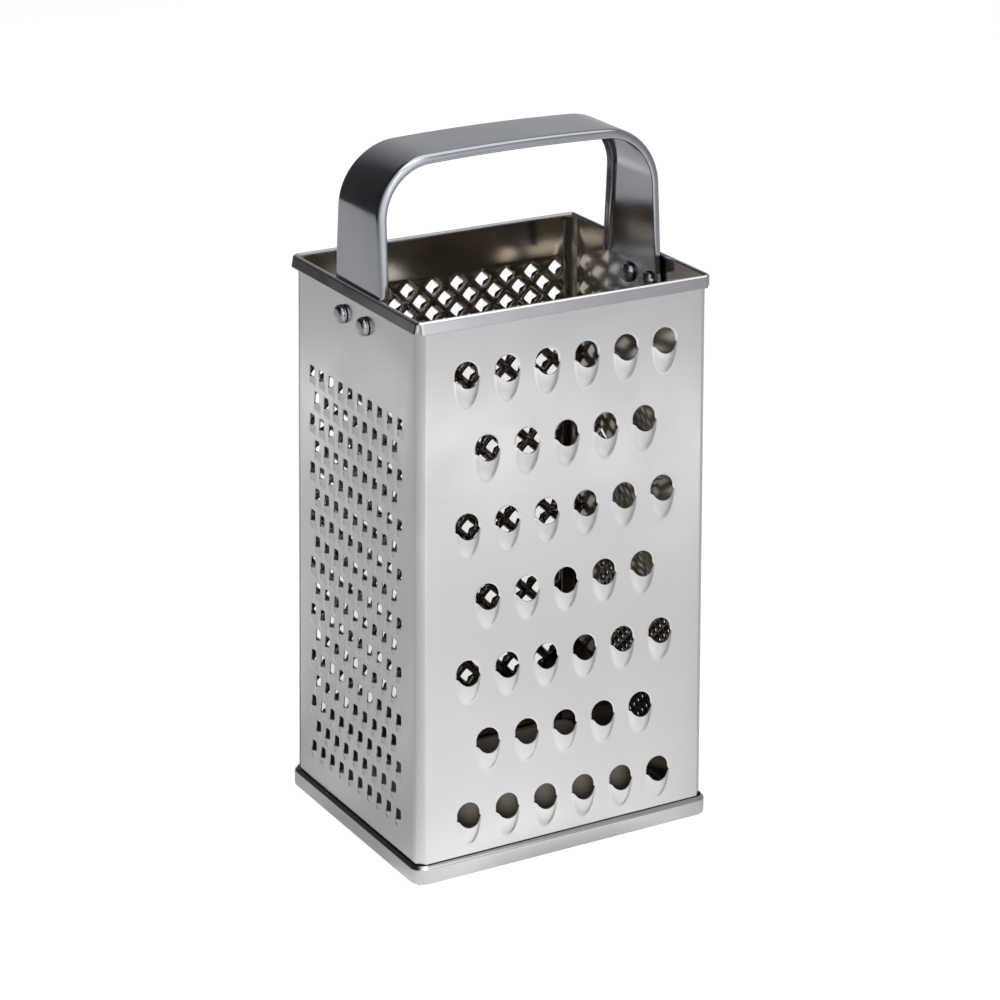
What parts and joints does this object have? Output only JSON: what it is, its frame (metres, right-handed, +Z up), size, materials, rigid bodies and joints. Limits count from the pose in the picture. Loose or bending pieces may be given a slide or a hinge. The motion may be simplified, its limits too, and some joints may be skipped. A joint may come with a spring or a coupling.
{
  "type": "box grater",
  "caption": "Four-sided tapered sheet-steel box grater, open at both ends, with coarse, fine, crown and slicing walls, a base ring and a riveted strap handle.",
  "frame": {"origin": "centre of the base ring's underside, on the surface that the grater stands on", "axes": "+Z up along the box, +X to the right along the coarse wall, -Y out of the coarse wall"},
  "size_m": [0.109, 0.0888, 0.2263],
  "materials": {
    "wall_steel": "satin mill finish",
    "trim_steel": "bright",
    "handle_steel": "bright",
    "rivet_steel": "polished"
  },
  "bodies": {
    "root": {"coarse_panel": "wall_steel", "fine_panel": "wall_steel", "crown_panel": "wall_steel", "slicer_panel": "wall_steel", "base_ring": "trim_steel", "cap_strip": "trim_steel", "handle": "handle_steel", "rivet_left_1": "rivet_steel", "rivet_left_2": "rivet_steel", "rivet_right_1": "rivet_steel", "rivet_right_2": "rivet_steel"}
  },
  "joints": []
}
